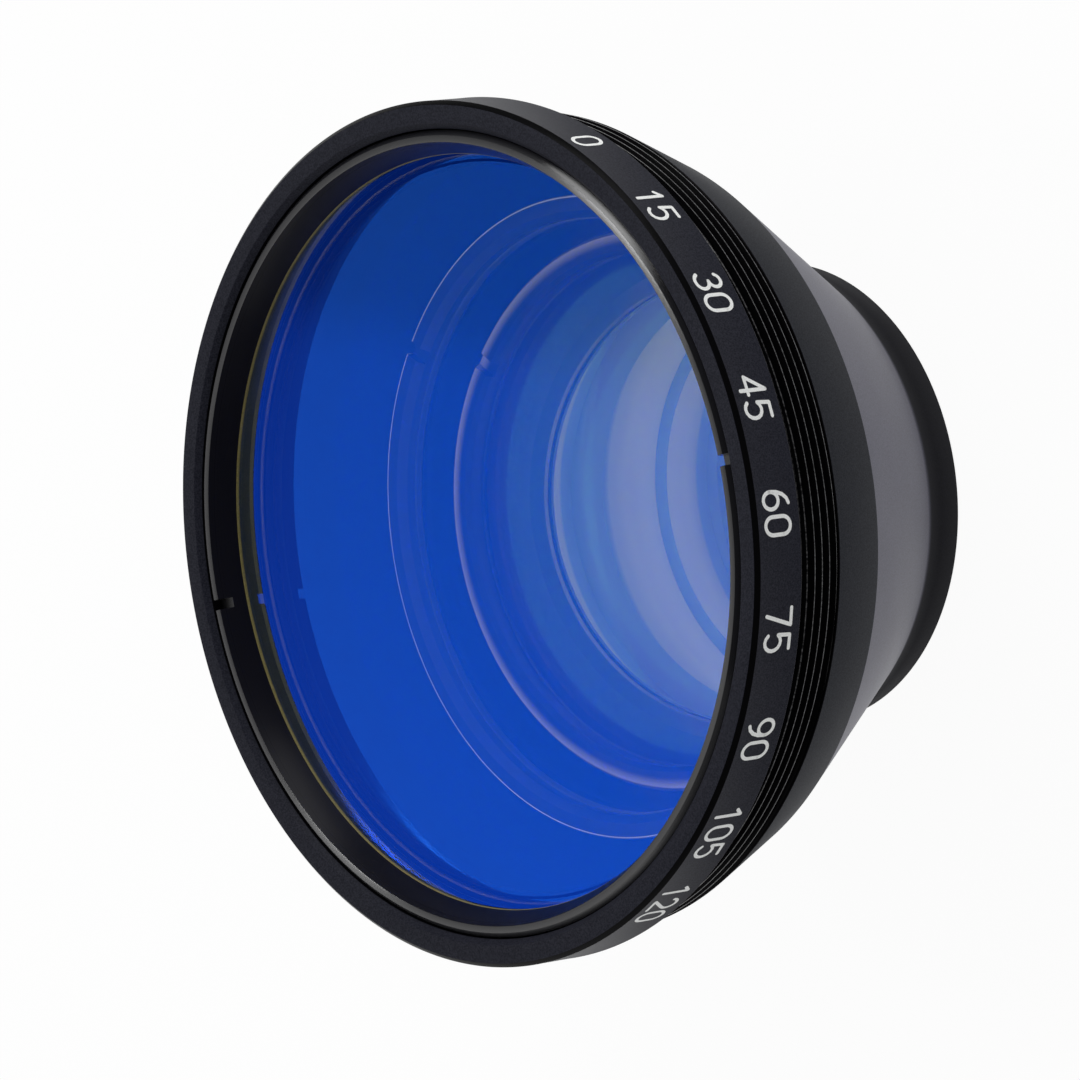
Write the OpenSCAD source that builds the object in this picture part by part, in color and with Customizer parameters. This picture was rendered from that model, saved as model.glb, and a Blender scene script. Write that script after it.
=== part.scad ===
// Flat field scan lens with an M85 x 1 mounting thread, standing on its rear collar.
// Z runs up the optical axis, from the rear face at z = 0 to the window end.
// The entrance, middle and front lenses stack up from the rear face in that order.
// The window, the flange and the thread are placed down from the front face.

/* [Barrel outside] */
// Overall length, rear face to front face
total_len = 47.9; // [46:0.1:56]
// Major diameter of the mounting thread
thread_d = 85; // [84:0.1:90]
// Length of the mounting thread
thread_len = 4.8; // [4:0.1:6]
// How far the flange stands out beyond the thread, on the radius
flange_overhang = 1.75; // [1.5:0.05:4]
// Length of the front flange
flange_len = 6.2; // [5:0.1:8]
// Width of the flange's edge chamfers
flange_chamfer = 0.45; // [0.2:0.05:0.6]
// Width of the relief groove's floor, from the thread to the round under the flange
relief_len = 1; // [0.8:0.1:2]
// Depth of the relief groove below the thread's crests
relief_depth = 0.9; // [0.6:0.05:1.2]
// How far outside the thread's crests the flange's flat seat begins
seat_margin = 0.1; // [0.05:0.05:0.3]
// Step from the thread down to the front cone
thread_step = 0.1; // [0.05:0.05:0.5]
// Length of the front cone
front_cone_len = 9.1; // [8:0.1:10]
// Length of the rear collar
collar_len = 4.6; // [3:0.1:6]
// How much the collar tapers over its length, on the radius
collar_taper = 0.7; // [0.2:0.05:1]
// Radius of the fillet from the rear cone into the collar
collar_fillet = 7; // [2:0.5:9]
// Chamfer at the collar's rear edge
collar_chamfer = 0.35; // [0.1:0.05:0.6]

/* [Barrel walls] */
// Wall between the relief groove and the window's pocket
cell_wall = 1.45; // [1:0.05:2.5]
// Wall outside the front lens ring's bore, at the edge between the two cones
shoulder_wall = 4.95; // [3:0.05:6]
// Wall outside the middle lens's pocket, at its shoulder
middle_wall = 2.8; // [2:0.05:4]
// Wall outside the entrance ring's bore, at the rear face
collar_wall = 1.9; // [1.2:0.05:3]

/* [Window and its ring] */
// Depth of the window's front surface below the front face
window_depth = 3.45; // [3:0.05:4]
// Thickness of the protective window
window_t = 3.3; // [2:0.1:4]
// Chamfer on the window's edges
window_chamfer = 0.3; // [0.1:0.05:0.5]
// Width of the shoulder under the window's rim
window_seat_w = 2.4; // [2.2:0.05:3]
// Thickness of the gasket between window and ring
gasket_t = 0.35; // [0.2:0.05:0.6]
// How far the ring stands out beyond the window, on the radius
ring_step = 1.2; // [0.8:0.05:1.3]
// Width of the ring at its top, from its opening to its thread
ring_top_w = 1.2; // [1:0.05:1.6]
// Width of the ring at the gasket
ring_foot_w = 2.55; // [2:0.05:3]
// Depth of the ring's top below the front face
ring_sink = 0.35; // [0.1:0.05:0.6]
// Chamfer on the ring's outer top edge
ring_chamfer = 0.5; // [0.2:0.05:0.7]
// Chamfer on the bore's edge in the front face
mouth_chamfer = 0.6; // [0.2:0.05:0.8]
// Width of the ring's two spanner slots
slot_w = 1.1; // [0.8:0.1:2]
// Depth of the ring's two spanner slots
slot_depth = 1.4; // [0.8:0.1:2]
// Angle of the first spanner slot round the axis
slot_angle = 10.5; // [0:0.5:180]
// Section diameter of the window's O-ring
oring_cs = 1.1; // [1:0.05:1.2]
// Depth of the O-ring's groove
oring_groove = 0.9; // [0.8:0.05:0.95]
// Room in the groove beside the O-ring
oring_room = 0.4; // [0.3:0.05:0.6]

/* [Front lens and its ring] */
// Diameter of the front lens
front_lens_d = 64.8; // [62:0.1:68]
// Edge thickness of the front lens
front_lens_edge = 3.1; // [2.6:0.1:4]
// Radius of the front lens's convex surface
front_lens_r1 = 80; // [72:1:120]
// Radius of the front lens's concave surface
front_lens_r2 = 160; // [140:1:400]
// Width of the shoulder under the front lens's rim
front_seat_w = 1.8; // [1:0.05:2.4]
// Length of the throat behind the front lens, down to the middle ring
front_throat_len = 4.2; // [3.6:0.1:6]
// How far the front ring stands out beyond its lens, on the radius
front_ring_step = 1; // [0.4:0.05:1.5]
// Width of the front ring, from its opening to its thread
front_ring_w = 2.4; // [2:0.05:3]
// Height of the front ring
front_ring_h = 1.9; // [1.5:0.1:3]
// Chamfer on the front ring's inner top edge
front_ring_chamfer = 0.8; // [0.2:0.1:1]

/* [Middle lens and its ring] */
// Edge thickness of the middle lens
middle_lens_edge = 3.5; // [3.2:0.1:4]
// Radius of the middle lens's convex surface
middle_lens_r1 = 60; // [54:1:90]
// Radius of the middle lens's concave surface
middle_lens_r2 = 110; // [100:1:300]
// Width of the shoulder under the middle lens's rim
middle_seat_w = 1.4; // [1:0.05:2]
// Length of the throat behind the middle lens, down to the entrance lip
middle_throat_len = 3.4; // [3:0.1:5]
// How far the middle ring stands out beyond its lens, on the radius
middle_ring_step = 0.5; // [0.3:0.05:1]
// Width of the middle ring, from its opening to its thread
middle_ring_w = 2.5; // [1.8:0.05:3]
// Height of the middle ring
middle_ring_h = 2.2; // [1.6:0.1:2.6]
// Chamfer on the middle ring's inner top edge
middle_ring_chamfer = 0.5; // [0.2:0.1:0.8]

/* [Entrance lens and its ring] */
// Diameter of the entrance lens
entrance_lens_d = 43.2; // [41:0.1:45]
// Edge thickness of the entrance lens
entrance_lens_edge = 5.5; // [5.2:0.1:6.5]
// Radius of the entrance lens's front concave surface
entrance_lens_r1 = 200; // [180:1:400]
// Radius of the entrance lens's rear concave surface
entrance_lens_r2 = 70; // [64:1:200]
// Width of the lip in front of the entrance lens
entrance_lip_w = 1.6; // [1:0.05:2]
// Thickness of that lip
entrance_lip_t = 0.6; // [0.4:0.1:0.8]
// How far the entrance ring stands out beyond its lens, on the radius
entrance_ring_step = 0.65; // [0.4:0.05:1]
// Width of the entrance ring, from its opening to its thread
entrance_ring_w = 2.85; // [2:0.05:3.2]
// Height of the entrance ring
entrance_ring_h = 2.8; // [2:0.1:3.2]
// Depth of the entrance ring inside the rear face
entrance_ring_sink = 0.7; // [0.3:0.05:1.5]
// Chamfer on the entrance ring's inner rear edge
entrance_ring_chamfer = 0.5; // [0.2:0.1:0.8]

/* [Inner spanner slots] */
// Width of the spanner slots in the three inner rings
inner_slot_w = 1.6; // [1:0.1:2.5]
// Depth of the spanner slots in the three inner rings
inner_slot_depth = 0.9; // [0.5:0.1:1.2]
// Angle of the first inner spanner slot round the axis
inner_slot_angle = -33; // [-90:1:90]

/* [Fits] */
// Radial clearance of each ring in its threaded bore
ring_clear = 0.15; // [0.05:0.05:0.2]
// Radial clearance of each glass in its pocket
glass_clear = 0.15; // [0.05:0.05:0.25]
// Flat ground land kept outside each glass's clear opening
land_margin = 0.2; // [0.1:0.05:0.4]

/* [Hidden] */
$fn = 144;
// Segments of the large spheres that the glass surfaces are cut from
lens_fn = 360;

// Overrun of a cut past the face that it breaks through
over = 1;
// Segments of a fillet arc
arc_steps = 10;

// Entrance lens's stack, up from the rear face
entrance_land_z = entrance_ring_sink + entrance_ring_h;
entrance_seat_z = entrance_land_z + entrance_lens_edge;
entrance_lip_z = entrance_seat_z + entrance_lip_t;
entrance_pocket_d = entrance_lens_d + 2 * glass_clear;
entrance_lip_d = entrance_lens_d - 2 * entrance_lip_w;
entrance_ring_d = entrance_lens_d + 2 * entrance_ring_step;
entrance_ring_bore = entrance_ring_d - 2 * entrance_ring_w;
entrance_ring_pocket_d = entrance_ring_d + 2 * ring_clear;

// Middle lens's stack, up from the entrance lip
middle_seat_z = entrance_lip_z + middle_throat_len;
middle_land_z = middle_seat_z + middle_lens_edge;
middle_ring_top_z = middle_land_z + middle_ring_h;

// Front lens's stack, up from the middle ring
front_seat_z = middle_ring_top_z + front_throat_len;
front_land_z = front_seat_z + front_lens_edge;
front_ring_top_z = front_land_z + front_ring_h;
front_pocket_d = front_lens_d + 2 * glass_clear;
front_seat_d = front_lens_d - 2 * front_seat_w;
front_ring_d = front_lens_d + 2 * front_ring_step;
front_ring_bore = front_ring_d - 2 * front_ring_w;
front_ring_pocket_d = front_ring_d + 2 * ring_clear;

// Outside of the barrel, down from the front face
flange_d = thread_d + 2 * flange_overhang;
flange_z = total_len - flange_len;
relief_fillet = relief_depth + seat_margin;
thread_top_z = flange_z - relief_fillet - relief_len;
thread_z = thread_top_z - thread_len;
shoulder_z = thread_z - front_cone_len;
shoulder_d = front_ring_pocket_d + 2 * shoulder_wall;
collar_end_d = entrance_ring_pocket_d + 2 * collar_wall;
collar_d = collar_end_d + 2 * collar_taper;

// The middle lens is as large as the wall of the rear cone lets it be
cone_slope = (shoulder_d - collar_d) / (shoulder_z - collar_len);
middle_pocket_d = collar_d + cone_slope * (middle_seat_z - collar_len) - 2 * middle_wall;
middle_lens_d = middle_pocket_d - 2 * glass_clear;
middle_seat_d = middle_lens_d - 2 * middle_seat_w;
middle_ring_d = middle_lens_d + 2 * middle_ring_step;
middle_ring_bore = middle_ring_d - 2 * middle_ring_w;
middle_ring_pocket_d = middle_ring_d + 2 * ring_clear;

// Window's stack, down from the front face
window_top_z = total_len - window_depth;
window_z = window_top_z - window_t;
window_pocket_d = thread_d - 2 * (relief_depth + cell_wall);
window_d = window_pocket_d - 2 * glass_clear;
window_seat_d = window_d - 2 * window_seat_w;
ring_bottom_z = window_top_z + gasket_t;
ring_top_z = total_len - ring_sink;
ring_d = window_d + 2 * ring_step;
ring_mouth_d = ring_d - 2 * ring_top_w;
ring_foot_d = ring_d - 2 * ring_foot_w;
ring_pocket_d = ring_d + 2 * ring_clear;
ring_pocket_z = ring_bottom_z - ring_clear;
oring_d = (window_seat_d + window_d) / 2;
oring_groove_w = oring_cs + oring_room;

// A round cut or body between two heights, d0 below and d1 above
module turned(z0, z1, d0, d1) {
    translate([0, 0, z0]) cylinder(h = z1 - z0, d1 = d0, d2 = d1);
}

// A bore from z0 up to z1 and past it by the overrun
module bore_up(z0, z1, d) {
    turned(z0, z1 + over, d, d);
}

// A conical throat between two shoulders, with a straight stretch through the upper one
module throat(z0, z1, d0, d1) {
    turned(z0, z1, d0, d1);
    bore_up(z1 - over, z1, d1);
}

// Points of the arc that rounds the corner b of the path a-b-c
function unit(v) = v / norm(v);
function fillet(a, b, c, r) =
    let (
        u = unit(a - b),
        v = unit(c - b),
        half = acos(u * v) / 2,
        centre = b + unit(u + v) * r / sin(half),
        start = b + u * r / tan(half) - centre,
        end = b + v * r / tan(half) - centre,
        a0 = atan2(start[1], start[0]),
        turn = atan2(end[1], end[0]) - a0,
        sweep = turn > 180 ? turn - 360 : turn < -180 ? turn + 360 : turn
    )
    [for (i = [0:arc_steps])
        let (t = a0 + sweep * i / arc_steps) centre + r * [cos(t), sin(t)]];

// The turned outside: flange, relief groove, thread, two cones, fillet and collar.
// The groove rounds up into the flange's seat, which starts clear of the crests.
module barrel_outside() {
    flange_r = flange_d / 2;
    thread_r = thread_d / 2;
    relief_r = thread_r - relief_depth;
    flange_edge = flange_chamfer / 2;
    relief_start = [relief_r, thread_top_z];
    relief_corner = [relief_r, flange_z];
    seat_edge = [flange_r - flange_edge, flange_z];
    shoulder = [shoulder_d / 2, shoulder_z];
    corner = [collar_d / 2, collar_len];
    collar_end = [collar_end_d / 2, collar_chamfer];
    rotate_extrude() polygon(concat(
        [[0, 0], [collar_end_d / 2 - collar_chamfer, 0], collar_end],
        fillet(collar_end, corner, shoulder, collar_fillet),
        [
            shoulder,
            [thread_r - thread_step, thread_z],
            [thread_r, thread_z + thread_step],
            [thread_r, thread_top_z],
            relief_start
        ],
        fillet(relief_start, relief_corner, seat_edge, relief_fillet),
        [
            seat_edge,
            [flange_r, flange_z + flange_edge],
            [flange_r, total_len - flange_chamfer],
            [flange_r - flange_chamfer, total_len],
            [0, total_len]
        ]
    ));
}

// Everything that is bored from the front: window, front lens, middle lens
module front_bores() {
    bore_up(ring_pocket_z, total_len, ring_pocket_d);
    turned(total_len - mouth_chamfer, total_len + over,
        ring_pocket_d, ring_pocket_d + 2 * (mouth_chamfer + over));
    bore_up(window_z, ring_pocket_z, window_pocket_d);
    throat(front_ring_top_z, window_z, front_ring_pocket_d, window_seat_d);
    bore_up(front_land_z, front_ring_top_z, front_ring_pocket_d);
    bore_up(front_seat_z, front_land_z, front_pocket_d);
    throat(middle_ring_top_z, front_seat_z, middle_ring_pocket_d, front_seat_d);
    bore_up(middle_land_z, middle_ring_top_z, middle_ring_pocket_d);
    bore_up(middle_seat_z, middle_land_z, middle_pocket_d);
    throat(entrance_lip_z, middle_seat_z, entrance_pocket_d, middle_seat_d);
}

// Everything that is bored from the rear: lip, entrance lens, its ring
module rear_bores() {
    turned(entrance_seat_z - over, entrance_lip_z + over, entrance_lip_d, entrance_lip_d);
    turned(-over, entrance_seat_z, entrance_pocket_d, entrance_pocket_d);
    turned(-over, entrance_land_z, entrance_ring_pocket_d, entrance_ring_pocket_d);
}

// Face groove in the shoulder under the window
module oring_groove_cut() {
    floor_z = window_z - oring_groove;
    difference() {
        bore_up(floor_z, window_z, oring_d + oring_groove_w);
        turned(floor_z - over, window_z + 2 * over,
            oring_d - oring_groove_w, oring_d - oring_groove_w);
    }
}

module barrel() {
    color("dimgray")
    difference() {
        barrel_outside();
        front_bores();
        rear_bores();
        oring_groove_cut();
    }
}

// Two opposite spanner slots across a ring's top face
module spanner_slots(top_z, depth, width, outer_d, angle) {
    rotate([0, 0, angle])
    translate([-outer_d / 2 - over, -width / 2, top_z - depth])
    cube([outer_d + 2 * over, width, depth + over]);
}

// A threaded retaining ring with a chamfered opening and two spanner slots in its top
module inner_ring(z, h, outer_d, bore_d, chamfer) {
    difference() {
        turned(z, z + h, outer_d, outer_d);
        turned(z - over, z + h + over, bore_d, bore_d);
        turned(z + h - chamfer, z + h + over, bore_d, bore_d + 2 * (chamfer + over));
        spanner_slots(z + h, inner_slot_depth, inner_slot_w, outer_d, inner_slot_angle);
    }
}

// The ring that holds the window down, with its conical opening
module window_retaining_ring() {
    outer_r = ring_d / 2;
    color("dimgray")
    difference() {
        rotate_extrude() polygon([
            [ring_foot_d / 2, ring_bottom_z],
            [outer_r, ring_bottom_z],
            [outer_r, ring_top_z - ring_chamfer],
            [outer_r - ring_chamfer, ring_top_z],
            [ring_mouth_d / 2, ring_top_z]
        ]);
        spanner_slots(ring_top_z, slot_depth, slot_w, ring_d, slot_angle);
    }
}

// Thin flat gasket between window and ring
module window_gasket() {
    color("darkkhaki")
    difference() {
        turned(window_top_z, ring_bottom_z, window_d, window_d);
        turned(window_top_z - over, ring_bottom_z + over, ring_foot_d, ring_foot_d);
    }
}

// Plane window with chamfered edges
module protective_window() {
    r = window_d / 2;
    color("royalblue", 0.5)
    rotate_extrude() polygon([
        [0, window_z],
        [r - window_chamfer, window_z],
        [r, window_z + window_chamfer],
        [r, window_top_z - window_chamfer],
        [r - window_chamfer, window_top_z],
        [0, window_top_z]
    ]);
}

// O-ring squeezed flat between the groove's floor and the window
module window_o_ring() {
    color("black")
    intersection() {
        translate([0, 0, window_z - oring_groove / 2])
        rotate_extrude() translate([oring_d / 2, 0]) circle(d = oring_cs, $fn = 32);
        turned(window_z - oring_groove, window_z, window_d, window_d);
    }
}

// Height of a sphere's cap over a circle of diameter d
function sag(r, d) = r - sqrt(r * r - d * d / 4);

// The cap of a sphere of radius r between two heights, no wider than d.
// Its pole is at pole_z, and way is 1 for a pole on top or -1 for a pole below.
module cap(z0, z1, d, r, pole_z, way) {
    intersection() {
        turned(z0, z1, d, d);
        translate([0, 0, pole_z - way * r]) sphere(r = r, $fn = lens_fn);
    }
}

// Meniscus with its convex face up and flat lands at both rims
module meniscus(z, edge, d, top_r, top_clear, bottom_r, bottom_clear) {
    land_z = z + edge;
    top_z = land_z + sag(top_r, top_clear);
    bottom_z = z + sag(bottom_r, bottom_clear);
    difference() {
        union() {
            turned(z, land_z, d, d);
            cap(land_z, top_z + over, top_clear, top_r, top_z, 1);
        }
        cap(z - over, bottom_z + over, bottom_clear, bottom_r, bottom_z, 1);
    }
}

module front_lens_retaining_ring() {
    color("dimgray")
    inner_ring(front_land_z, front_ring_h, front_ring_d, front_ring_bore, front_ring_chamfer);
}

module front_lens() {
    color("cornflowerblue", 0.5)
    meniscus(front_seat_z, front_lens_edge, front_lens_d,
        front_lens_r1, front_ring_bore - 2 * land_margin,
        front_lens_r2, front_seat_d - 2 * land_margin);
}

module middle_lens_retaining_ring() {
    color("dimgray")
    inner_ring(middle_land_z, middle_ring_h, middle_ring_d, middle_ring_bore, middle_ring_chamfer);
}

module middle_lens() {
    color("cornflowerblue", 0.5)
    meniscus(middle_seat_z, middle_lens_edge, middle_lens_d,
        middle_lens_r1, middle_ring_bore - 2 * land_margin,
        middle_lens_r2, middle_seat_d - 2 * land_margin);
}

// Biconcave entrance lens with flat lands at both rims
module entrance_lens() {
    front_clear = entrance_lip_d - 2 * land_margin;
    rear_clear = entrance_ring_bore - 2 * land_margin;
    front_z = entrance_seat_z - sag(entrance_lens_r1, front_clear);
    rear_z = entrance_land_z + sag(entrance_lens_r2, rear_clear);
    color("cornflowerblue", 0.5)
    difference() {
        turned(entrance_land_z, entrance_seat_z, entrance_lens_d, entrance_lens_d);
        cap(front_z - over, entrance_seat_z + over, front_clear, entrance_lens_r1, front_z, -1);
        cap(entrance_land_z - over, rear_z + over, rear_clear, entrance_lens_r2, rear_z, 1);
    }
}

// The ring at the rear, turned over so that its slots face the rear
module entrance_lens_retaining_ring() {
    color("dimgray")
    translate([0, 0, entrance_land_z])
    rotate([180, 0, 0])
    inner_ring(0, entrance_ring_h, entrance_ring_d, entrance_ring_bore, entrance_ring_chamfer);
}

barrel();
window_retaining_ring();
window_gasket();
protective_window();
window_o_ring();
front_lens_retaining_ring();
front_lens();
middle_lens_retaining_ring();
middle_lens();
entrance_lens();
entrance_lens_retaining_ring();
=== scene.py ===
import math
from collections import namedtuple

import bmesh
import bpy
import numpy as np
from mathutils import Matrix, Vector


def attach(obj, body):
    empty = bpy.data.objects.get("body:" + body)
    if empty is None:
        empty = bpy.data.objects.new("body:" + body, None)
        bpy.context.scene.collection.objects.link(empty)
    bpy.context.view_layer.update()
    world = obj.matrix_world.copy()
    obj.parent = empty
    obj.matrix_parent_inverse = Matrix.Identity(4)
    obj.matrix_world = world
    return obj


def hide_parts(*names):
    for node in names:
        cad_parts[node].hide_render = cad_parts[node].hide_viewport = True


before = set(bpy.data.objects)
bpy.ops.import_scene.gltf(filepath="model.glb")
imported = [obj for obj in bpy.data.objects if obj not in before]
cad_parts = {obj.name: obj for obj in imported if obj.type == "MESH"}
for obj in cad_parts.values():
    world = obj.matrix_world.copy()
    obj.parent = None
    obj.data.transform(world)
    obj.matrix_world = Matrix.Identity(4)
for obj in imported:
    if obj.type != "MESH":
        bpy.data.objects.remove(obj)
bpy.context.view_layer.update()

MM = 0.001
BODY = "root"

# ---------------------------------------------------------------- sizes, in millimetres
TOTAL = 47.9
FLANGE_R, FLANGE_LEN, FLANGE_CHAMFER = 44.25, 6.2, 0.45
THREAD_R, THREAD_LEN, THREAD_STEP = 42.5, 4.8, 0.1
RELIEF_DEPTH, RELIEF_LEN, RELIEF_ROUND = 0.9, 1.0, 1.0
FRONT_CONE_LEN = 9.1
SHOULDER_R = 38.5
COLLAR_R, COLLAR_END_R, COLLAR_LEN, COLLAR_FILLET, COLLAR_CHAMFER = 25.0, 24.3, 4.6, 7.0, 0.35

FLANGE_Z = TOTAL - FLANGE_LEN
RELIEF_R = THREAD_R - RELIEF_DEPTH
THREAD_TOP_Z = FLANGE_Z - RELIEF_ROUND - RELIEF_LEN
THREAD_Z = THREAD_TOP_Z - THREAD_LEN
SHOULDER_Z = THREAD_Z - FRONT_CONE_LEN

WINDOW_R, WINDOW_CHAMFER = 40.0, 0.3
WINDOW_Z, WINDOW_TOP_Z = 41.15, 44.45
GASKET_TOP_Z = 44.8
WINDOW_SEAT_R = 37.6
GROOVE_IN_R, GROOVE_OUT_R, GROOVE_Z = 38.05, 39.55, 40.25
O_RING_R, O_RING_SECTION = 38.8, 1.1

RING_R, RING_FOOT_R, RING_MOUTH_R = 41.2, 38.65, 40.0
RING_Z, RING_TOP_Z, RING_CHAMFER, MOUTH_CHAMFER = GASKET_TOP_Z, 47.55, 0.5, 0.6
RING_SLOT_W, RING_SLOT_DEPTH, RING_SLOT_ANGLE = 1.1, 1.4, 10.5

# Heights of the lower and upper land, then for each face its clear radius, its sphere and which way it bows
Lens = namedtuple("Lens", "low_z high_z radius low_clear low_sphere low_bow high_clear high_sphere high_bow")
FRONT_LENS = Lens(22.9, 26.0, 32.4, 30.4, 160.0, 1, 30.8, 80.0, 1)
MIDDLE_LENS = Lens(13.0, 16.5, 27.399, 25.799, 110.0, 1, 25.199, 60.0, 1)
ENTRANCE_LENS = Lens(3.5, 9.0, 21.6, 19.2, 70.0, 1, 19.8, 200.0, -1)
FRONT_SEAT_W, MIDDLE_SEAT_W = 1.8, 1.4
LIP_W, LIP_T, LIP_CHAMFER = 1.6, 0.6, 0.2

# The foot is where a ring meets its lens. The corner is the break at its outer edge, with the rim inside it
InnerRing = namedtuple("InnerRing", "foot_z height radius bore_r chamfer corner rim faces_rear")
FRONT_RING = InnerRing(FRONT_LENS.high_z, 1.9, 33.4, 31.0, 0.8, 0.12, 0.1, False)
MIDDLE_RING = InnerRing(MIDDLE_LENS.high_z, 2.2, 27.899, 25.399, 0.5, 0.3, 1.7, False)
ENTRANCE_RING = InnerRing(ENTRANCE_LENS.low_z, 2.8, 22.25, 19.4, 0.5, 0.1, 0.1, True)
INNER_SLOT_W, INNER_SLOT_DEPTH, INNER_SLOT_ANGLE = 1.6, 0.9, -33.0

# Play round each ring and glass, the hair between a land and its seat, and the land above each cone
CLEAR = 0.15
LAND_GAP = 0.01
THROAT_LAND = 1.0

# M85 x 1 thread, and how far each turned edge is broken
PITCH = 1.0
THREAD_DEPTH = 0.61
THREAD_ROOT, THREAD_CREST = 0.12, 0.42
THREAD_LEAD_IN, THREAD_LEAD_OUT, THREAD_LEAD_W = 0.5, 0.4, 0.3
THREAD_MARKS = (0.0, 0.04, 0.08, 0.23, 0.38, 0.44, 0.5, 0.56, 0.62, 0.77, 0.92, 0.96)
CREST_MARKS = (0.96, 0.0)
EDGE_BREAK = 0.08
WAIST_BREAK = 0.25
GASKET_BREAK = 0.05
BAND_SINK, BAND_SLOPE = 0.02, 0.1

# How finely round shapes are divided
COLUMNS, DISC_COLUMNS, O_RING_COLUMNS = 384, 256, 192
DOME_STEPS = 40
FILLET_STEPS, RELIEF_STEPS = 16, 6
O_RING_SIDES = 24
SHARP_TURN = math.radians(25)
BREAK_SHARE = 0.45
TINY = 1e-6


# ---------------------------------------------------------------- turned shapes
def broken_edges(outline, radius, steps=3, closed=True):
    """The outline of (r, z, finish) points with each sharp corner rounded off a little."""
    count = len(outline)
    result = []
    for i, (r, z, finish) in enumerate(outline):
        here = Vector((r, z))
        if not closed and i in (0, count - 1):
            result.append((r, z, finish))
            continue
        before = Vector(outline[i - 1][:2]) - here
        after = Vector(outline[(i + 1) % count][:2]) - here
        if before.length < TINY or after.length < TINY:
            result.append((r, z, finish))
            continue
        turn = math.pi - before.angle(after)
        if turn < SHARP_TURN or r < TINY:
            result.append((r, z, finish))
            continue
        reach = min(radius * math.tan(turn / 2), before.length * BREAK_SHARE, after.length * BREAK_SHARE)
        start = here + before.normalized() * reach
        end = here + after.normalized() * reach
        for k in range(steps + 1):
            t = k / steps
            point = start * (1 - t) ** 2 + here * 2 * t * (1 - t) + end * t ** 2
            result.append((point.x, point.y, finish if k else outline[i - 1][2]))
    return result


def turned(name, columns, finishes, closed=True, around=True, sharp=38):
    """A mesh from outlines set at angles round the Z axis. columns is a list of (angle, outline)."""
    rows = len(columns[0][1])
    points = np.array([[(r * math.cos(a), r * math.sin(a), z) for r, z, _ in outline]
                       for a, outline in columns]) * MM
    mesh = bpy.data.meshes.new(name)
    faces, slots = [], []
    for c in range(len(columns) if around else len(columns) - 1):
        c2 = (c + 1) % len(columns)
        outline = columns[c][1]
        for j in range(rows if closed else rows - 1):
            j2 = (j + 1) % rows
            faces.append((c * rows + j, c2 * rows + j, c2 * rows + j2, c * rows + j2))
            slots.append(finishes.index(outline[j][2]))
    mesh.from_pydata(points.reshape(-1, 3).tolist(), [], faces)
    mesh.polygons.foreach_set("material_index", slots)
    work = bmesh.new()
    work.from_mesh(mesh)
    bmesh.ops.remove_doubles(work, verts=work.verts, dist=2e-6)
    bmesh.ops.dissolve_degenerate(work, dist=1e-7, edges=work.edges)
    work.to_mesh(mesh)
    work.free()
    mesh.shade_smooth()
    mesh.set_sharp_from_angle(angle=math.radians(sharp))
    return mesh


def round_columns(outline, count=COLUMNS):
    return [(2 * math.pi * c / count, outline) for c in range(count)]


def place(name, mesh, materials, replaced):
    """Puts a piece in the scene, on the one body, with its finishes."""
    piece = bpy.data.objects.new(name, mesh)
    bpy.context.scene.collection.objects.link(piece)
    for material in materials:
        mesh.materials.append(material)
    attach(piece, BODY)
    if replaced:
        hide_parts(replaced)
    return piece


def corner_round(before, corner, after, radius, steps, finish):
    """The arc of the given radius that rounds the corner between two straight runs."""
    here = Vector(corner)
    u = (Vector(before) - here).normalized()
    v = (Vector(after) - here).normalized()
    half = u.angle(v) / 2
    centre = here + (u + v).normalized() * radius / math.sin(half)
    start = here + u * radius / math.tan(half) - centre
    end = here + v * radius / math.tan(half) - centre
    a0 = math.atan2(start.y, start.x)
    sweep = (math.atan2(end.y, end.x) - a0 + math.pi) % (2 * math.pi) - math.pi
    return [(centre.x + radius * math.cos(a0 + sweep * k / steps),
             centre.y + radius * math.sin(a0 + sweep * k / steps), finish)
            for k in range(steps + 1)]


# ---------------------------------------------------------------- barrel
def thread_depth_at(z, shift):
    """Depth below the crests at height z: rounded crest, straight flanks, narrow root, chamfered ends."""
    phase = ((z - THREAD_Z - shift) / PITCH) % 1.0
    flank = (abs(phase - 0.5) - THREAD_ROOT) / (THREAD_CREST - THREAD_ROOT)
    depth = THREAD_DEPTH * (1 - min(max(flank, 0.0), 1.0))
    lead = max(THREAD_Z + THREAD_LEAD_IN - z, z - (THREAD_TOP_Z - THREAD_LEAD_OUT))
    return min(THREAD_DEPTH + THREAD_STEP, max(depth, lead))


def thread_rows(angle):
    """The thread's outline at an angle round the axis, shifted along by the helix."""
    shift = PITCH * angle / (2 * math.pi)
    low, high = THREAD_Z + THREAD_STEP, THREAD_TOP_Z
    rows = []
    for turn in range(-1, int(THREAD_LEN / PITCH) + 2):
        for mark in THREAD_MARKS:
            z = min(max(THREAD_Z + (turn + mark) * PITCH + shift, low), high)
            finish = "crest" if mark in CREST_MARKS else "thread"
            rows.append((THREAD_R - thread_depth_at(z, shift), z, finish))
    return rows


def throat(high_z, high_r, low_z, low_r, finish="baffle"):
    """A straight land, a small step and a cone down to the next ring."""
    land_z = high_z - THROAT_LAND
    step_r = low_r + (high_r - low_r) * (land_z - low_z) / (high_z - low_z)
    return [(high_r, high_z, finish), (high_r, land_z, finish),
            (step_r, land_z, finish), (low_r, low_z, finish)]


def lens_cell(lens, ring):
    """The stepped pocket of a lens and its ring, from the lens's upper land down to its shoulder."""
    return [(ring.radius + CLEAR, lens.high_z, "baffle"),
            (lens.radius + CLEAR, lens.high_z, "baffle"),
            (lens.radius + CLEAR, lens.low_z, "baffle")]


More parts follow.
